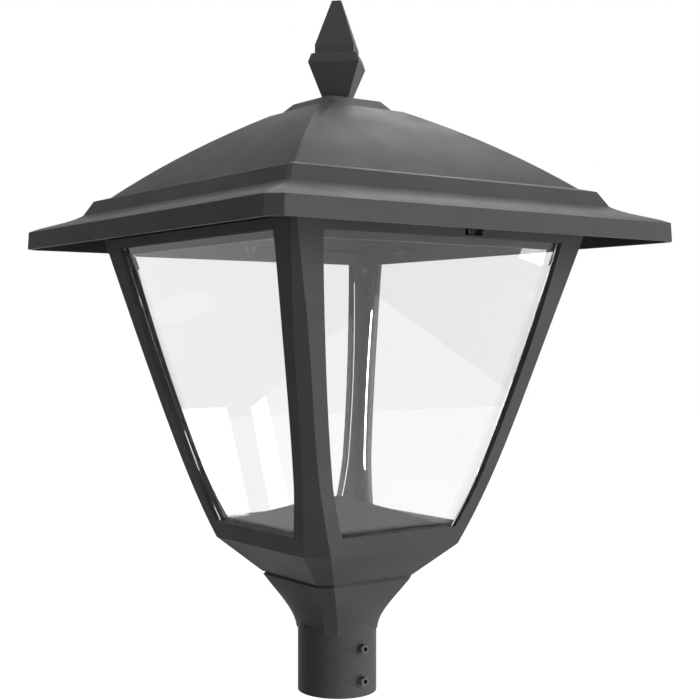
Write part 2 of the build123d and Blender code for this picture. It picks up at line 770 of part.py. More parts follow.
def cable_gland():
    """Screwed into the stop from above, its thread ending short of the post bore."""
    foot = BORE_DEPTH + SEAT
    cap_foot = STOP_TOP + GLAND_BODY
    top = cap_foot + GLAND_CAP
    body = hex_bar(GLAND_ACROSS, (0, 0, STOP_TOP), (0, 0, cap_foot))
    body += rod(GLAND_RADIUS, (0, 0, foot), (0, 0, STOP_TOP))
    cap = rod(GLAND_CAP_RADIUS, (0, 0, cap_foot), (0, 0, top))
    body += chamfer(cap.edges().filter_by(GeomType.CIRCLE).sort_by(Axis.Z)[-1:], GLAND_CAP_BEVEL)
    return body - rod(GLAND_BORE, (0, 0, foot), (0, 0, top))


def terminal_block():
    length, width, height = TERMINAL
    top = FLOOR_TOP + height
    wire_z = FLOOR_TOP + height / 3
    sides = (TERMINAL_Y - width / 2, TERMINAL_Y + width / 2)
    body = block((-length / 2, length / 2), sides, (FLOOR_TOP, top))
    pitch = length / (TERMINAL_WAYS + 1)
    for number in range(TERMINAL_WAYS):
        x = (number - (TERMINAL_WAYS - 1) / 2) * pitch
        body -= rod(TERMINAL_WIRE, (x, TERMINAL_Y - width, wire_z), (x, TERMINAL_Y + width, wire_z))
        body -= rod(TERMINAL_GRIP, (x, TERMINAL_Y, top - TERMINAL_GRIP_DEPTH), (x, TERMINAL_Y, top))
    for x, y in floor_screw_places()[:2]:
        body -= rod(M3 + CLEAR, (x, y, FLOOR_TOP), (x, y, top))
        body -= rod(M3_HEAD + CLEAR, (x, y, FLOOR_TOP + TERMINAL_FOOT), (x, y, top))
    return body


def floor_screw_places():
    """The two terminal block screws, then the earth screw."""
    x = TERMINAL[0] / 2 - M3_HEAD - OVERRUN
    return [(-x, TERMINAL_Y), (x, TERMINAL_Y), EARTH_AT]


def floor_screw(x, y, radius=M3):
    return rod(radius, (x, y, FLOOR_TOP - FLOOR_SCREW_DEPTH), (x, y, FLOOR_TOP))


def terminal_screws():
    return group([screw(M3, M3_HEAD, M3_HEAD_HEIGHT, (x, y, FLOOR_TOP + TERMINAL_FOOT),
                        (x, y, FLOOR_TOP - FLOOR_SCREW_DEPTH)) for x, y in floor_screw_places()[:2]])


def earth_screw():
    x, y = EARTH_AT
    top = FLOOR_TOP + EARTH_TAG
    tag = rod(EARTH_TAG_RADIUS, (x, y, FLOOR_TOP), (x, y, top))
    tag += block((x, x + EARTH_TAG_REACH), (y - EARTH_TAG_HALF, y + EARTH_TAG_HALF), (FLOOR_TOP, top))
    tag -= rod(M3 + CLEAR, (x, y, FLOOR_TOP), (x, y, top))
    pin = screw(M3, EARTH_HEAD, M3_HEAD_HEIGHT, (x, y, top), (x, y, FLOOR_TOP - FLOOR_SCREW_DEPTH))
    return group([tag, pin])


# --- Canopy ---
def canopy_stack(hollow):
    """The canopy's outside, or the hollow that leaves its wall."""
    def inner(size):
        return size if hollow else 0

    eave_half = EAVE_HALF - inner(SHELL)
    roof_half = eave_half - FASCIA_LEAN
    fascia_top = FASCIA_TOP - inner(SHELL - EAVE_ROOF_LESS)
    lean = inner(SHELL + BAND_WALL_MORE - BAND_FACE_LESS)
    band_foot = BAND_FOOT - inner(BAND_FOOT_DROP)
    band_foot_half = BAND_HALF - lean
    fascia = flat_sided(octagon(FASCIA_FOOT - inner(OVERRUN), eave_half, FASCIA_CUT),
                        octagon(fascia_top, roof_half, FASCIA_CUT))
    run = roof_half - band_foot_half
    rise = band_foot - fascia_top
    cove_z = fascia_top + rise * (1 - COVE_WIDTH / run)
    skirt = smooth_sided([octagon(fascia_top, roof_half, FASCIA_CUT),
                          octagon(fascia_top + rise / 2 - SKIRT_SAG, roof_half - run / 2,
                                  (FASCIA_CUT + BAND_CUT) / 2),
                          octagon(cove_z - COVE_SAG, band_foot_half + COVE_WIDTH, BAND_CUT + COVE_CUT_MORE),
                          octagon(band_foot, band_foot_half, BAND_CUT)])
    dome_foot = DOME_FOOT - inner(SHELL)
    dome_half = DOME_HALF - inner(SHELL * DOME_FOOT_WALL)
    band = flat_sided(octagon(band_foot, band_foot_half, BAND_CUT),
                      octagon(BAND_TOP - inner(SHELL), BAND_HALF - BAND_LEAN - lean, BAND_CUT),
                      octagon(dome_foot, dome_half, DOME_CUTS[0]))
    return fascia + skirt + band + dome(dome_half, dome_foot, DOME_TOP_HALF - inner(SHELL * DOME_TOP_WALL))


def dome(foot_half, foot_z, top_half):
    """The four crowned slopes: each follows one arc from the foot to the top."""
    foot = Vector(foot_half, foot_z)
    top = Vector(top_half, foot_z + DOME_RISE)
    chord = (top - foot).normalized()
    middle = (foot + top) / 2 + Vector(chord.Y, -chord.X) * DOME_CROWN
    arc = ThreePointArc(foot, middle, top)
    levels = []
    for number, cut in enumerate(DOME_CUTS):
        point = arc @ (number / (len(DOME_CUTS) - 1))
        levels.append(octagon(point.Y, point.X, cut))
    return smooth_sided(levels)


def canopy_shell():
    outside = canopy_stack(False)
    body = outside - canopy_stack(True)
    ring_top = BAND_TOP + OVERRUN
    ring = block((-RING_OUTER, RING_OUTER), (-RING_OUTER, RING_OUTER), (RING_FOOT, ring_top))
    ring -= block((-RING_INNER, RING_INNER), (-RING_INNER, RING_INNER), (RING_FOOT, ring_top))
    ring += hinge_boss()
    for x, y in tray_places():
        ring += rod(TRAY_BOSS_RADIUS, (x, y, TRAY_TOP), (x, y, DOME_TOP))
    body += ring & outside
    body -= block((HINGE_X[0] - HINGE_SLOT_GAP, HINGE_X[1] + HINGE_SLOT_GAP), (0, RAIL_HALF),
                  (RING_FOOT, RAIL_TOP + BRACKET_TOP + ARM_GAP))
    for x, y in tray_places():
        body -= rod(M4 + THREAD_GAP, (x, y, TRAY_TOP), (x, y, TRAY_TOP + TRAY_HOLE_DEPTH))
    for hole in arm_screw_rods(M4 + THREAD_GAP):
        body -= hole
    return body - rod(STUD_RADIUS + CLEAR, (0, 0, DOME_FOOT), (0, 0, DOME_TOP + OVERRUN))


def hinge_boss():
    """The thickening inside the ring that the hinge arm is screwed to."""
    low = TRAY_TOP + HINGE_BOSS_LIFT
    reach = ARM_FLANGE + ARM_MARGIN
    return block((HINGE_X[0] - reach, HINGE_X[1] + reach), (RING_INNER - HINGE_BOSS, RING_INNER + OVERRUN),
                 (low, low + HINGE_BOSS_HEIGHT))


def canopy_gasket():
    outer = RING_OUTER + SEAL_OUT
    inner = RING_INNER - SEAL_IN
    ring = block((-outer, outer), (-outer, outer), (RAIL_TOP, SEAL_TOP))
    ring -= block((-inner, inner), (-inner, inner), (RAIL_TOP, SEAL_TOP))
    gap = LUG_HALF + OVERRUN
    return ring - block((LATCH_X - gap, LATCH_X + gap), (-outer, 0), (RAIL_TOP, SEAL_TOP))


def finial_collar():
    body = flat_sided(octagon(DOME_TOP, COLLAR_HALF, COLLAR_CUT),
                      octagon(COLLAR_TOP, COLLAR_TOP_HALF, COLLAR_TOP_CUT))
    return body - rod(STUD_RADIUS + CLEAR, (0, 0, DOME_TOP), (0, 0, COLLAR_TOP))


def finial():
    """A square spire turned 45 degrees to the lantern."""
    levels = [(0, FINIAL_FOOT), (FINIAL_WIDEST_RISE, FINIAL_WIDEST),
              (FINIAL_SHOULDER_RISE, FINIAL_SHOULDER), (FINIAL_BAND_RISE, FINIAL_BAND),
              (FINIAL_SPIRE_RISE, FINIAL_BAND), (FINIAL_HEIGHT, FINIAL_TIP)]
    body = Rot(0, 0, 45) * flat_sided(*[square(COLLAR_TOP + rise, half) for rise, half in levels])
    end = COLLAR_TOP + STUD_IN_FINIAL + OVERRUN
    return body - rod(STUD_RADIUS + THREAD_GAP, (0, 0, COLLAR_TOP), (0, 0, end))


def shell_under_collar():
    """Height of the canopy's inside, under the collar."""
    return DOME_TOP - SHELL


def finial_stud():
    low = shell_under_collar() - WASHER - NUT - STUD_BELOW
    return rod(STUD_RADIUS, (0, 0, low), (0, 0, COLLAR_TOP + STUD_IN_FINIAL))


def finial_washer():
    top = shell_under_collar()
    return rod(WASHER_RADIUS, (0, 0, top - WASHER), (0, 0, top)) - rod(
        STUD_RADIUS + CLEAR, (0, 0, top - WASHER), (0, 0, top))


def finial_nut():
    top = shell_under_collar() - WASHER
    nut = hex_bar(NUT_ACROSS, (0, 0, top - NUT), (0, 0, top))
    return nut - rod(STUD_RADIUS + THREAD_GAP, (0, 0, top - NUT), (0, 0, top))


# --- Gear tray and lamp ---
def tray_places():
    return [(x, y) for x in (-BOSS_X, BOSS_X) for y in (-BOSS_X, BOSS_X)]


def sunk_screw(x, y, radius, head, seat, tip):
    """A countersunk screw driven upwards, its head flush at the seat."""
    cone = Cone(head, radius, TRAY, align=(Align.CENTER, Align.CENTER, Align.MIN))
    return Pos(x, y, seat) * cone + rod(radius, (x, y, seat), (x, y, tip))


def gear_tray():
    half = TRAY_HALF
    body = block((-half, half), (-half, half), (TRAY_UNDER, TRAY_TOP))
    body -= rod(LAMP_OPENING, (0, 0, TRAY_UNDER), (0, 0, TRAY_TOP))
    for x, y in tray_places() + sink_places():
        body -= sunk_screw(x, y, M4 + CLEAR, M4_HEAD + CLEAR, TRAY_UNDER, TRAY_TOP)
    for x in driver_screw_places():
        body -= rod(M3 + THREAD_GAP, (x, DRIVER_Y, TRAY_UNDER), (x, DRIVER_Y, TRAY_TOP))
    y = HOOK_FRONT + HOOK + HOOK_SCREW_IN
    for x in hook_screw_places():
        body -= rod(M3 + THREAD_GAP, (x, y, TRAY_UNDER), (x, y, TRAY_TOP))
    return body


def tray_screws():
    tip = TRAY_TOP + TRAY_SCREW_GRIP
    return group([sunk_screw(x, y, M4, M4_HEAD, TRAY_UNDER, tip) for x, y in tray_places()])


def led_lens():
    return rod(LENS_RADIUS, (0, 0, TRAY_TOP), (0, 0, TRAY_TOP + LENS))


def lens_ring():
    inner = LENS_RADIUS + SEAT
    body = rod(LENS_RING_RADIUS, (0, 0, TRAY_TOP), (0, 0, BOARD_UNDER))
    body -= rod(inner, (0, 0, TRAY_TOP), (0, 0, TRAY_TOP + LENS + LENS_GAP))
    return body - rod(inner - LENS_LIP, (0, 0, TRAY_TOP), (0, 0, BOARD_UNDER))


def led_board():
    board = rod(LED_BOARD_RADIUS, (0, 0, BOARD_UNDER), (0, 0, SINK_UNDER))
    chip = Pos(0, 0, BOARD_UNDER) * Box(*LED, align=(Align.CENTER, Align.CENTER, Align.MAX))
    for place in PolarLocations(LED_CIRCLE, LEDS):
        board += place * chip
    return board


def sink_places():
    return [(x, y) for x in (-SINK_SCREW_X, SINK_SCREW_X) for y in (-SINK_SCREW_X, SINK_SCREW_X)]


def heat_sink():
    half = SINK_HALF
    top = SINK_UNDER + SINK_BASE
    body = block((-half, half), (-half, half), (SINK_UNDER, top))
    pitch = (2 * half - SINK_FIN_WALL) / (SINK_FINS - 1)
    for number in range(SINK_FINS):
        x = -half + number * pitch
        body += block((x, x + SINK_FIN_WALL), (-half, half), (top, top + SINK_FIN))
    for x, y in sink_places():
        body -= rod(M4 + THREAD_GAP, (x, y, SINK_UNDER), (x, y, top - SINK_SCREW_ROOF))
    return body


def sink_spacers():
    return group([rod(SPACER_RADIUS, (x, y, TRAY_TOP), (x, y, SINK_UNDER))
                  - rod(M4 + CLEAR, (x, y, TRAY_TOP), (x, y, SINK_UNDER)) for x, y in sink_places()])


def sink_screws():
    tip = SINK_UNDER + SINK_BASE - SINK_SCREW_SHORT
    return group([sunk_screw(x, y, M4, M4_HEAD, TRAY_UNDER, tip) for x, y in sink_places()])


def driver_screw_places():
    x = DRIVER[0] / 2 + DRIVER_TAB / 2
    return [-x, x]


def driver():
    length, width, height = DRIVER
    y = (DRIVER_Y - width / 2, DRIVER_Y + width / 2)
    body = block((-length / 2, length / 2), y, (TRAY_TOP, TRAY_TOP + height))
    body = fillet(body.edges().filter_by(Axis.Z), DRIVER_CORNER)
    reach = length / 2 + DRIVER_TAB
    body += block((-reach, reach), y, (TRAY_TOP, TRAY_TOP + DRIVER_TAB_THICK))
    for x in driver_screw_places():
        body -= rod(M3 + CLEAR, (x, DRIVER_Y, TRAY_TOP), (x, DRIVER_Y, TRAY_TOP + DRIVER_TAB_THICK))
    return body


def driver_screws():
    seat = TRAY_TOP + DRIVER_TAB_THICK
    return group([screw(M3, M3_HEAD, M3_HEAD_HEIGHT, (x, DRIVER_Y, seat), (x, DRIVER_Y, TRAY_UNDER + CLEAR))
                  for x in driver_screw_places()])


# --- Hinge ---
def hinge_bracket():
    """The fixed leaf: its leg is screwed inside the back rail and it reaches over the rail."""
    foot = RAIL_TOP - BRACKET_DROP
    over = RAIL_TOP + BRACKET_OVER
    top = RAIL_TOP + BRACKET_TOP
    leg = rail_inner(foot) - BRACKET_LEG
    outline = [(leg, foot), (rail_inner(foot), foot), (rail_inner(RAIL_TOP), RAIL_TOP),
               (rail_inner(RAIL_TOP), over), (HINGE_Y - BRACKET_NOSE, over), (HINGE_Y, HINGE_Z),
               (HINGE_Y, HINGE_Z + KNUCKLE_RADIUS), (HINGE_Y - BRACKET_BROW, top), (leg, top)]
    body = side_profile(outline, HINGE_X)
    body += rod(KNUCKLE_RADIUS, (HINGE_X[0], HINGE_Y, HINGE_Z), (HINGE_X[1], HINGE_Y, HINGE_Z))
    body -= rod(PIN_RADIUS + THREAD_GAP, (HINGE_X[0], HINGE_Y, HINGE_Z), (HINGE_X[1], HINGE_Y, HINGE_Z))
    for x in hinge_screw_places():
        body -= hinge_screw(x, M4 + CLEAR, 0)
    return body


def hinge_screw_places():
    quarter = (HINGE_X[1] - HINGE_X[0]) / 4
    return [HINGE_X[0] + quarter, HINGE_X[1] - quarter]


def hinge_screw(x, radius=M4, head=M4_HEAD):
    z = RAIL_TOP - BRACKET_DROP / 2
    seat = rail_inner(RAIL_TOP - BRACKET_DROP) - BRACKET_LEG
    tip = rail_inner(z) + BRACKET_SCREW_GRIP
    if not head:
        return rod(radius, (x, seat - OVERRUN, z), (x, tip + HOLE_END, z))
    return screw(radius, head, M4_HEAD_HEIGHT, (x, seat, z), (x, tip, z))


def hinge_screws():
    return group([hinge_screw(x) for x in hinge_screw_places()])


def ear_ranges():
    """Where the canopy's two ears stand, one each side of the bracket."""
    left = HINGE_X[0] - HINGE_GAP
    right = HINGE_X[1] + HINGE_GAP
    return [(left - HINGE_EAR, left), (right, right + HINGE_EAR)]


def hinge_arm():
    """The moving leaf: a plate on the canopy's ring with two ears down to the pin."""
    low = RAIL_TOP + BRACKET_TOP + ARM_GAP
    top = low + ARM_HEIGHT
    reach = ARM_FLANGE + ARM_MARGIN
    body = block((HINGE_X[0] - reach, HINGE_X[1] + reach), (RING_OUTER, RING_OUTER + ARM_PLATE), (low, top))
    heel = HINGE_Y + ARM_HEEL
    outline = [(RING_OUTER, top), (RING_OUTER, HINGE_Z + KNUCKLE_RADIUS),
               (HINGE_Y - ARM_TOE, HINGE_Z - ARM_HEEL), (heel, HINGE_Z - ARM_TOE), (heel, HINGE_Z + ARM_TOE),
               (RING_OUTER + ARM_PLATE + ARM_GAP, top)]
    for x in ear_ranges():
        body += side_profile(outline, x)
        body += rod(KNUCKLE_RADIUS, (x[0], HINGE_Y, HINGE_Z), (x[1], HINGE_Y, HINGE_Z))
    left, right = ear_ranges()[0][0], ear_ranges()[1][1]
    body -= rod(PIN_RADIUS + THREAD_GAP, (left, HINGE_Y, HINGE_Z), (right, HINGE_Y, HINGE_Z))
    for hole in arm_screw_rods(M4 + CLEAR):
        body -= hole
    return body


def hinge_pin():
    left, right = ear_ranges()[0][0] - SEAT, ear_ranges()[1][1] + SEAT
    body = rod(PIN_RADIUS, (left, HINGE_Y, HINGE_Z), (right, HINGE_Y, HINGE_Z))
    for x, way in ((left, -1), (right, 1)):
        body += rod(PIN_HEAD_RADIUS, (x, HINGE_Y, HINGE_Z), (x + way * PIN_HEAD, HINGE_Y, HINGE_Z))
    return body


def arm_screw_places():
    z = TRAY_TOP + ARM_SCREW_LIFT
    return [(HINGE_X[0] - ARM_FLANGE, z), (HINGE_X[1] + ARM_FLANGE, z)]


def arm_screw_rods(radius):
    """The bores of the screws that hold the hinge arm to the canopy's ring."""
    tip = RING_INNER - ARM_SCREW_GRIP - OVERRUN
    return [rod(radius, (x, RING_OUTER + ARM_PLATE + OVERRUN, z), (x, tip, z)) for x, z in arm_screw_places()]


def arm_screws():
    seat = RING_OUTER + ARM_PLATE
    tip = RING_INNER - ARM_SCREW_GRIP
    return group([screw(M4, M4_HEAD, M4_HEAD_HEIGHT, (x, seat, z), (x, tip, z))
                  for x, z in arm_screw_places()])


# --- Latch ---
def latch_cam():
    """A slotted head in the rail's notch, a shank through the lug, and a finger behind it."""
    front = LATCH_FRONT - SEAT
    face = front - LATCH_HEAD
    back = HOOK_FRONT
    body = rod(LATCH_RADIUS, (LATCH_X, front, LATCH_Z), (LATCH_X, back, LATCH_Z))
    head = rod(LATCH_HEAD_RADIUS, (LATCH_X, face, LATCH_Z), (LATCH_X, front, LATCH_Z))
    body += fillet(head.edges().filter_by(GeomType.CIRCLE).sort_by(Axis.Y)[:1], LATCH_ROUND)
    body -= block((LATCH_X - LATCH_SLOT_HALF, LATCH_X + LATCH_SLOT_HALF), (face, face + LATCH_SLOT_DEPTH),
                  (LATCH_Z - LATCH_HEAD_RADIUS, LATCH_Z + LATCH_HEAD_RADIUS))
    body += rod(LATCH_HEAD_RADIUS, (LATCH_X, back, LATCH_Z), (LATCH_X, back + FINGER, LATCH_Z))
    return body + block((LATCH_X - FINGER_HALF, LATCH_X + FINGER_HALF), (back, back + FINGER),
                        (LATCH_Z, LATCH_Z + FINGER_LENGTH))


def hook_sides():
    return [LATCH_X + x for x in HOOK_FOOT_X]


def hook_screw_places():
    left, right = hook_sides()
    return [left + HOOK_SCREW_SIDE, right - HOOK_SCREW_SIDE]


def latch_hook():
    """A hook under the gear tray: the finger turns over its foot and holds the canopy down."""
    left, right = hook_sides()
    back = HOOK_FRONT + HOOK
    screw_y = back + HOOK_SCREW_IN
    foot_top = LATCH_Z - FINGER_HALF - SEAT
    flange_under = TRAY_UNDER - HOOK_FLANGE
    body = block((right - HOOK_STEM, right), (HOOK_FRONT, back), (foot_top - HOOK_FOOT, TRAY_UNDER))
    body += block((left, right), (HOOK_FRONT, back), (foot_top - HOOK_FOOT, foot_top))
    body += block((left, right), (HOOK_FRONT, screw_y + HOOK_SCREW_EDGE), (flange_under, TRAY_UNDER))
    for x in hook_screw_places():
        body -= rod(M3 + CLEAR, (x, screw_y, flange_under), (x, screw_y, TRAY_UNDER))
    return body


def hook_screws():
    seat = TRAY_UNDER - HOOK_FLANGE
    y = HOOK_FRONT + HOOK + HOOK_SCREW_IN
    return group([screw(M3, M3_HEAD, M3_HEAD_HEIGHT, (x, y, seat), (x, y, TRAY_TOP + OVERRUN))
                  for x in hook_screw_places()])


def all_parts():
    """Every node by name."""
    parts = {
        "post_fitter": post_fitter(),
        "set_screw_lower": set_screw(SET_HEIGHTS[0]),
        "set_screw_upper": set_screw(SET_HEIGHTS[1]),
        "base_gasket": base_gasket(),
        "frame_bolts": frame_bolts(),
        "cage_frame": cage_frame(),
        "pane_gaskets": pane_gaskets(),
        "pane_retainers": pane_retainers(),
        "retainer_screws": retainer_screws(),
        "glazing_clips": glazing_clips(),
        "clip_screws": clip_screws(),
        "gear_cover": gear_cover(),
        "cover_clips": cover_clips(),
        "cable_gland": cable_gland(),
        "terminal_block": terminal_block(),
        "terminal_screws": terminal_screws(),
        "earth_screw": earth_screw(),
        "canopy_gasket": canopy_gasket(),
        "canopy_shell": canopy_shell(),
        "finial_collar": finial_collar(),
        "finial": finial(),
        "finial_stud": finial_stud(),
        "finial_washer": finial_washer(),
        "finial_nut": finial_nut(),
        "gear_tray": gear_tray(),
        "tray_screws": tray_screws(),
        "led_lens": led_lens(),
        "lens_ring": lens_ring(),
        "led_board": led_board(),
        "heat_sink": heat_sink(),
        "sink_spacers": sink_spacers(),
        "sink_screws": sink_screws(),
        "driver": driver(),
        "driver_screws": driver_screws(),
        "hinge_bracket": hinge_bracket(),
        "hinge_screws": hinge_screws(),
        "hinge_arm": hinge_arm(),
        "arm_screws": arm_screws(),
        "hinge_pin": hinge_pin(),
        "latch_cam": latch_cam(),
        "latch_hook": latch_hook(),
        "hook_screws": hook_screws(),
    }
    for side, piece in zip(("front", "right", "back", "left"), around(pane())):
        parts["pane_" + side] = piece
    return parts


os.makedirs("parts", exist_ok=True)
for name, shape in all_parts().items():
    export_step(shape, "parts/" + name + ".step")
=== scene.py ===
import json
import math

import bpy
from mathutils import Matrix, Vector

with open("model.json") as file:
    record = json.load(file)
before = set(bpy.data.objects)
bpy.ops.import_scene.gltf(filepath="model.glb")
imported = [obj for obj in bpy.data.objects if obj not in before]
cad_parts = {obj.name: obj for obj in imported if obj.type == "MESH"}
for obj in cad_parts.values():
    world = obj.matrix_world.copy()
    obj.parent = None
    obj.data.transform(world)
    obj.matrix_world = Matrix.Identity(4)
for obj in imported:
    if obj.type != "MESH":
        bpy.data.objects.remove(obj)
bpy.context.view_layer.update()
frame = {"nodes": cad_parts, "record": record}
nodes = frame["nodes"]

# The camera stands level, in front and to the left of the lantern, as far off as the photograph's.
CAMERA_AT = (-0.7369, -0.9930, 0.3394)
CAMERA_TURN = 35.13
CAMERA_LENS = 65.61
CAMERA_SHIFT = (0.0646, -0.0176)
SENSOR_WIDTH = 36
CLIP_NEAR = 0.01
CLIP_FAR = 50


def make_camera():
    data = bpy.data.cameras.new("camera")
    data.lens = CAMERA_LENS
    data.sensor_width = SENSOR_WIDTH
    data.shift_x, data.shift_y = CAMERA_SHIFT
    data.clip_start = CLIP_NEAR
    data.clip_end = CLIP_FAR
    camera = bpy.data.objects.new("camera", data)
    camera.location = CAMERA_AT
    camera.rotation_euler = (math.radians(90), 0, -math.radians(CAMERA_TURN))
    bpy.context.scene.collection.objects.link(camera)
    bpy.context.scene.camera = camera


# --- Materials ---
# A noise hardly leaves this range.
NOISE_LOW = 0.3
NOISE_HIGH = 0.7

# The Mix node has its two colours and its result at these places.
MIX_A = 6
MIX_B = 7
MIX_RESULT = 2

EDGE_RADIUS = 0.0012
EDGE_SAMPLES = 4
EDGE_WORN = 0.82
EDGE_FLAT = 0.995


def set_range(node, from_low, from_high, low, high):
    """Fills in a Map Range node."""
    for name, number in (("From Min", from_low), ("From Max", from_high), ("To Min", low), ("To Max", high)):
        node.inputs[name].default_value = number


def seen_rays(add, join):
    """1 for rays of the eye, of reflections and through glass, and 0 for the light that falls on things."""
    path = add("ShaderNodeLightPath")
    seen = path.outputs["Is Camera Ray"]
    for ray in ("Is Glossy Ray", "Is Transmission Ray"):
        either = add("ShaderNodeMath", operation="MAXIMUM")
        join(seen, either.inputs[0])
        join(path.outputs[ray], either.inputs[1])
        seen = either.outputs[0]
    return seen


class Nodes:
    """A new material and short ways to add and join its nodes."""

    def __init__(self, name):
        self.material = bpy.data.materials.new(name)
        self.material.use_nodes = True
        self.tree = self.material.node_tree
        self.shader = self.tree.nodes["Principled BSDF"]
        self.output = self.tree.nodes["Material Output"]
        self.place = self.add("ShaderNodeTexCoord").outputs["Object"]

    def add(self, kind, **settings):
        node = self.tree.nodes.new(kind)
        for name, value in settings.items():
            setattr(node, name, value)
        return node

    def join(self, source, target):
        self.tree.links.new(source, target)

    def noise(self, scale, detail=2.0, roughness=0.5):
        node = self.add("ShaderNodeTexNoise")
        node.inputs["Scale"].default_value = scale
        node.inputs["Detail"].default_value = detail
        node.inputs["Roughness"].default_value = roughness
        self.join(self.place, node.inputs["Vector"])
        return node.outputs["Fac"]

    def spread(self, value, low, high, from_low=NOISE_LOW, from_high=NOISE_HIGH):
        """Maps a value to a range."""
        node = self.add("ShaderNodeMapRange")
        set_range(node, from_low, from_high, low, high)
        self.join(value, node.inputs["Value"])
        return node.outputs["Result"]

    def math(self, operation, a, b):
        node = self.add("ShaderNodeMath", operation=operation)
        for socket, value in zip(node.inputs, (a, b)):
            if isinstance(value, (int, float)):
                socket.default_value = value
            else:
                self.join(value, socket)
        return node.outputs[0]

    def mix(self, factor, a, b):
        """Mixes two colours by a factor that varies."""
        node = self.add("ShaderNodeMix", data_type="RGBA")
        self.join(factor, node.inputs["Factor"])
        for socket, value in ((node.inputs[MIX_A], a), (node.inputs[MIX_B], b)):
            if isinstance(value, tuple):
                socket.default_value = (*value, 1)
            else:
                self.join(value, socket)
        return node.outputs[MIX_RESULT]

    def bump(self, height, distance, strength):
        node = self.add("ShaderNodeBump")
        node.inputs["Distance"].default_value = distance
        node.inputs["Strength"].default_value = strength
        self.join(height, node.inputs["Height"])
        self.join(node.outputs["Normal"], self.shader.inputs["Normal"])

    def worn_edges(self):
        """1 at sharp edges and 0 on flats, from the difference between the true and the rounded normal."""
        bevel = self.add("ShaderNodeBevel", samples=EDGE_SAMPLES)
        bevel.inputs["Radius"].default_value = EDGE_RADIUS
        geometry = self.add("ShaderNodeNewGeometry")
        dot = self.add("ShaderNodeVectorMath", operation="DOT_PRODUCT")
        self.join(bevel.outputs["Normal"], dot.inputs[0])
        self.join(geometry.outputs["Normal"], dot.inputs[1])
        return self.spread(dot.outputs["Value"], 1.0, 0.0, EDGE_WORN, EDGE_FLAT)


def shaded(colour, factor, extra=0.0):
    """A colour made lighter or darker, no lighter than white."""
    return tuple(min(1, c * factor + extra) for c in colour)


SATIN_ROUGHNESS = 0.5
SATIN_GLOSS = 0.05
COAT_CLOUD_SCALE = 9
COAT_CLOUD_DARK = 0.9
COAT_CLOUD_LIGHT = 1.1
COAT_SPECK_SCALE = 1400
COAT_SPECK_FROM = 0.62
COAT_SPECK_TO = 0.8
COAT_SPECK_SHARE = 0.25
COAT_SPECK_LIGHT = 1.8
COAT_EDGE_SCALE = 45
COAT_EDGE_LEAST = 0.1
COAT_EDGE_MOST = 0.55
COAT_EDGE_LIGHT = 1.7
COAT_EDGE_ADDED = 0.01
COAT_ROUGHNESS_SCALE = 30
COAT_SMOOTHER = 0.04
COAT_ROUGHER = 0.05
PEEL_SCALE = 520
PEEL_FINE_SCALE = 1900
PEEL_FINE_SHARE = 0.4
PEEL_DEPTH = 0.00006
PEEL_STRENGTH = 0.6


def powder_coat(name, colour, roughness=SATIN_ROUGHNESS, gloss=SATIN_GLOSS):
    """Satin powder coat: an orange-peel skin, faint cloudiness and slightly polished edges."""
    n = Nodes(name)
    dark, light = shaded(colour, COAT_CLOUD_DARK), shaded(colour, COAT_CLOUD_LIGHT)
    cloud = n.mix(n.spread(n.noise(COAT_CLOUD_SCALE, 4), 0, 1), dark, light)
    speck = n.spread(n.noise(COAT_SPECK_SCALE), 0, 1, COAT_SPECK_FROM, COAT_SPECK_TO)
    skin = n.mix(n.math("MULTIPLY", speck, COAT_SPECK_SHARE), cloud, shaded(colour, COAT_SPECK_LIGHT))
    wear = n.spread(n.noise(COAT_EDGE_SCALE, 3), COAT_EDGE_LEAST, COAT_EDGE_MOST)
    edges = n.math("MULTIPLY", n.worn_edges(), wear)
    worn = shaded(colour, COAT_EDGE_LIGHT, COAT_EDGE_ADDED)
    n.join(n.mix(edges, skin, worn), n.shader.inputs["Base Color"])
    patches = n.noise(COAT_ROUGHNESS_SCALE, 3)
    polish = n.spread(patches, roughness - COAT_SMOOTHER, roughness + COAT_ROUGHER)
    n.join(polish, n.shader.inputs["Roughness"])
    fine_peel = n.math("MULTIPLY", n.noise(PEEL_FINE_SCALE, 1), PEEL_FINE_SHARE)
    n.bump(n.math("ADD", n.noise(PEEL_SCALE), fine_peel), PEEL_DEPTH, PEEL_STRENGTH)
    n.shader.inputs["Specular IOR Level"].default_value = gloss
    return n.material


GLASS_TINT_SCALE = 14
GLASS_TINT_DARK = (0.935, 0.935, 0.935)
GLASS_TINT_LIGHT = (0.945, 0.945, 0.945)
GLASS_IOR = 1.5
GLASS_SHADOW = (0.3, 0.3, 0.3)


def glass(name):
    """Clear float glass; its shadow is deeper than clear glass has, so that the inside stays dim."""
    n = Nodes(name)
    tint = n.mix(n.spread(n.noise(GLASS_TINT_SCALE, 3), 0, 1), GLASS_TINT_DARK, GLASS_TINT_LIGHT)
    n.join(tint, n.shader.inputs["Base Color"])
    n.shader.inputs["Transmission Weight"].default_value = 1.0
    n.shader.inputs["IOR"].default_value = GLASS_IOR
    n.shader.inputs["Roughness"].default_value = 0.0
    clear = n.add("ShaderNodeBsdfTransparent")
    clear.inputs["Color"].default_value = (*GLASS_SHADOW, 1)
    path = n.add("ShaderNodeLightPath")
    mixer = n.add("ShaderNodeMixShader")
    n.join(path.outputs["Is Shadow Ray"], mixer.inputs[0])
    n.join(n.shader.outputs[0], mixer.inputs[1])
    n.join(clear.outputs[0], mixer.inputs[2])
    n.join(mixer.outputs[0], n.output.inputs["Surface"])
    return n.material


METAL_ROUGHNESS = 0.3
METAL_SCALE = 900
METAL_ROUGHNESS_SCALE = 360
METAL_DARK = 0.8
METAL_SMOOTHER = 0.06
METAL_ROUGHER = 0.1
METAL_DEPTH = 0.00002
METAL_STRENGTH = 0.5


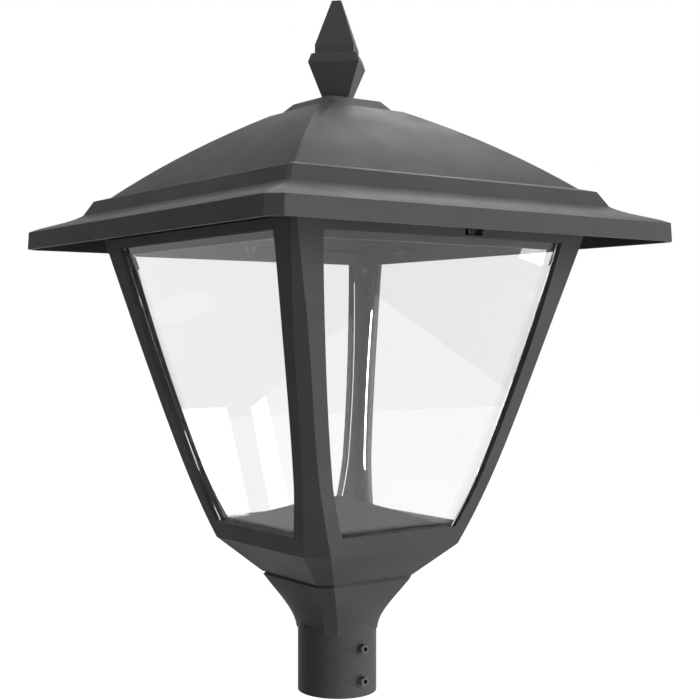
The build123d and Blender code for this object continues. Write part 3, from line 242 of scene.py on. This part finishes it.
def metal(name, colour, roughness=METAL_ROUGHNESS):
    """Bare metal with a fine grain."""
    n = Nodes(name)
    n.shader.inputs["Metallic"].default_value = 1.0
    shade = n.mix(n.spread(n.noise(METAL_SCALE, 3), 0, 1), shaded(colour, METAL_DARK), colour)
    n.join(shade, n.shader.inputs["Base Color"])
    polish = n.spread(n.noise(METAL_ROUGHNESS_SCALE), roughness - METAL_SMOOTHER, roughness + METAL_ROUGHER)
    n.join(polish, n.shader.inputs["Roughness"])
    n.bump(n.noise(METAL_SCALE), METAL_DEPTH, METAL_STRENGTH)
    return n.material


PLASTIC_CLOUD_SCALE = 25
PLASTIC_DARK = 0.93
PLASTIC_ROUGHNESS_SCALE = 60
PLASTIC_SMOOTHER = 0.05
PLASTIC_ROUGHER = 0.07
PLASTIC_GRAIN_SCALE = 700
PLASTIC_DEPTH = 0.00004
PLASTIC_STRENGTH = 0.6


def plastic(name, colour, roughness):
    """Moulded plastic or rubber with a fine grain."""
    n = Nodes(name)
    shade = n.mix(n.spread(n.noise(PLASTIC_CLOUD_SCALE, 3), 0, 1), shaded(colour, PLASTIC_DARK), colour)
    n.join(shade, n.shader.inputs["Base Color"])
    patches = n.noise(PLASTIC_ROUGHNESS_SCALE)
    polish = n.spread(patches, roughness - PLASTIC_SMOOTHER, roughness + PLASTIC_ROUGHER)
    n.join(polish, n.shader.inputs["Roughness"])
    n.bump(n.noise(PLASTIC_GRAIN_SCALE), PLASTIC_DEPTH, PLASTIC_STRENGTH)
    return n.material


COAT = (0.069, 0.069, 0.069)
TRAY_COAT = (0.13, 0.13, 0.13)
COVER_COAT = (0.05, 0.05, 0.05)
MATTE_ROUGHNESS = 0.75
MATTE_GLOSS = 0.0
SLOT_MATERIALS = {
    "powder_coat": powder_coat("powder_coat", COAT),
    "glass": glass("glass"),
    "gasket": plastic("gasket", (0.012, 0.012, 0.012), 0.65),
    "fastener": metal("fastener", (0.62, 0.62, 0.63)),
    "dark_fastener": metal("dark_fastener", (0.17, 0.17, 0.17), 0.42),
    "lens": plastic("lens", (0.8, 0.81, 0.8), 0.3),
    "circuit_board": plastic("circuit_board", (0.75, 0.77, 0.74), 0.4),
    "heat_sink": metal("heat_sink", (0.72, 0.72, 0.73), 0.34),
    "driver_case": plastic("driver_case", (0.72, 0.72, 0.69), 0.5),
    "terminal": plastic("terminal", (0.66, 0.66, 0.62), 0.5),
}


def dress(node, material):
    """Gives a CAD node this material."""
    mesh = nodes[node].data
    mesh.materials.clear()
    mesh.materials.append(material)


for subpart in frame["record"]["subparts"]:
    dress(subpart["node"], SLOT_MATERIALS[subpart["material_slot"]])
# The tray and the cover inside are duller than the outside of the lantern.
dress("gear_tray", powder_coat("tray_coat", TRAY_COAT, MATTE_ROUGHNESS, MATTE_GLOSS))
dress("gear_cover", powder_coat("cover_coat", COVER_COAT, MATTE_ROUGHNESS, MATTE_GLOSS))


# --- Studio ---
WORLD_LOW = 0.13
WORLD_HIGH = 0.19
WORLD_FADE_FROM = -0.4
WORLD_FADE_TO = 0.15
FLOOR_Z = -1.2
FLOOR_REACH = 20.0
FLOOR_GREY = (0.3, 0.3, 0.3)
FLOOR_GLOW = 0.96


def make_world():
    """White for the eye, in reflections and through glass; on the object, soft light that fades downwards."""
    world = bpy.data.worlds.new("studio")
    bpy.context.scene.world = world
    world.use_nodes = True
    tree = world.node_tree

    def add(kind, **settings):
        node = tree.nodes.new(kind)
        for name, value in settings.items():
            setattr(node, name, value)
        return node

    join = tree.links.new
    shade = tree.nodes["Background"]
    shade.inputs["Color"].default_value = (1, 1, 1, 1)
    place = add("ShaderNodeTexCoord").outputs["Generated"]
    height = add("ShaderNodeSeparateXYZ")
    fade = add("ShaderNodeMapRange", interpolation_type="SMOOTHSTEP")
    set_range(fade, WORLD_FADE_FROM, WORLD_FADE_TO, WORLD_LOW, WORLD_HIGH)
    join(place, height.inputs[0])
    join(height.outputs["Z"], fade.inputs["Value"])
    join(fade.outputs["Result"], shade.inputs["Strength"])
    white = add("ShaderNodeBackground")
    white.inputs["Color"].default_value = (1, 1, 1, 1)
    white.inputs["Strength"].default_value = 1.0
    mixer = add("ShaderNodeMixShader")
    join(seen_rays(add, join), mixer.inputs[0])
    join(shade.outputs[0], mixer.inputs[1])
    join(white.outputs[0], mixer.inputs[2])
    join(mixer.outputs[0], tree.nodes["World Output"].inputs["Surface"])


def make_floor():
    """A wide floor below the lantern, white to the same rays as the backdrop."""
    mesh = bpy.data.meshes.new("floor")
    corners = [(x * FLOOR_REACH, y * FLOOR_REACH, 0) for x, y in ((-1, -1), (1, -1), (1, 1), (-1, 1))]
    mesh.from_pydata(corners, [], [(0, 1, 2, 3)])
    floor = bpy.data.objects.new("floor", mesh)
    floor.location.z = FLOOR_Z
    bpy.context.scene.collection.objects.link(floor)
    n = Nodes("floor")
    n.shader.inputs["Base Color"].default_value = (*FLOOR_GREY, 1)
    n.shader.inputs["Roughness"].default_value = 1.0
    glow = n.add("ShaderNodeEmission")
    glow.inputs["Strength"].default_value = FLOOR_GLOW
    both = n.add("ShaderNodeAddShader")
    n.join(n.shader.outputs[0], both.inputs[0])
    n.join(glow.outputs[0], both.inputs[1])
    mixer = n.add("ShaderNodeMixShader")
    n.join(seen_rays(n.add, n.join), mixer.inputs[0])
    n.join(n.shader.outputs[0], mixer.inputs[1])
    n.join(both.outputs[0], mixer.inputs[2])
    n.join(mixer.outputs[0], n.output.inputs["Surface"])
    mesh.materials.append(n.material)


def make_lamp(name, at, towards, size, watts):
    data = bpy.data.lights.new(name, "AREA")
    data.shape = "RECTANGLE"
    data.size, data.size_y = size
    data.energy = watts
    lamp = bpy.data.objects.new(name, data)
    lamp.location = at
    lamp.rotation_euler = (Vector(towards) - Vector(at)).to_track_quat("-Z", "Y").to_euler()
    bpy.context.scene.collection.objects.link(lamp)
    return lamp


MIDDLE = (0, 0, 0.3)
CROWN = (0, 0, 0.5)
NECK = (0, 0, 0.1)
LAMPS = (
    # name, place, aim, size, watts, seen in reflections
    ("key", (0.95, -2.35, 1.2), MIDDLE, (1.4, 1.4), 50, False),
    ("low", (0.6, -1.9, -0.9), NECK, (1.0, 1.0), 14, False),
    ("top", (-0.42, -0.05, 2.2), CROWN, (0.8, 0.8), 4, True),
    ("strip", (2.3, -2.0, 0.0), NECK, (0.3, 0.9), 33, False),
    ("near", (-1.35, -2.1, 0.05), NECK, (0.25, 0.9), 8, False),
    ("back", (1.45, 1.3, 2.2), CROWN, (1.4, 1.0), 24, True),
)


def make_lights():
    for name, at, towards, size, watts, glossy in LAMPS:
        make_lamp(name, at, towards, size, watts).visible_glossy = glossy


make_camera()
make_world()
make_floor()
make_lights()
bpy.context.scene.view_settings.view_transform = "Standard"
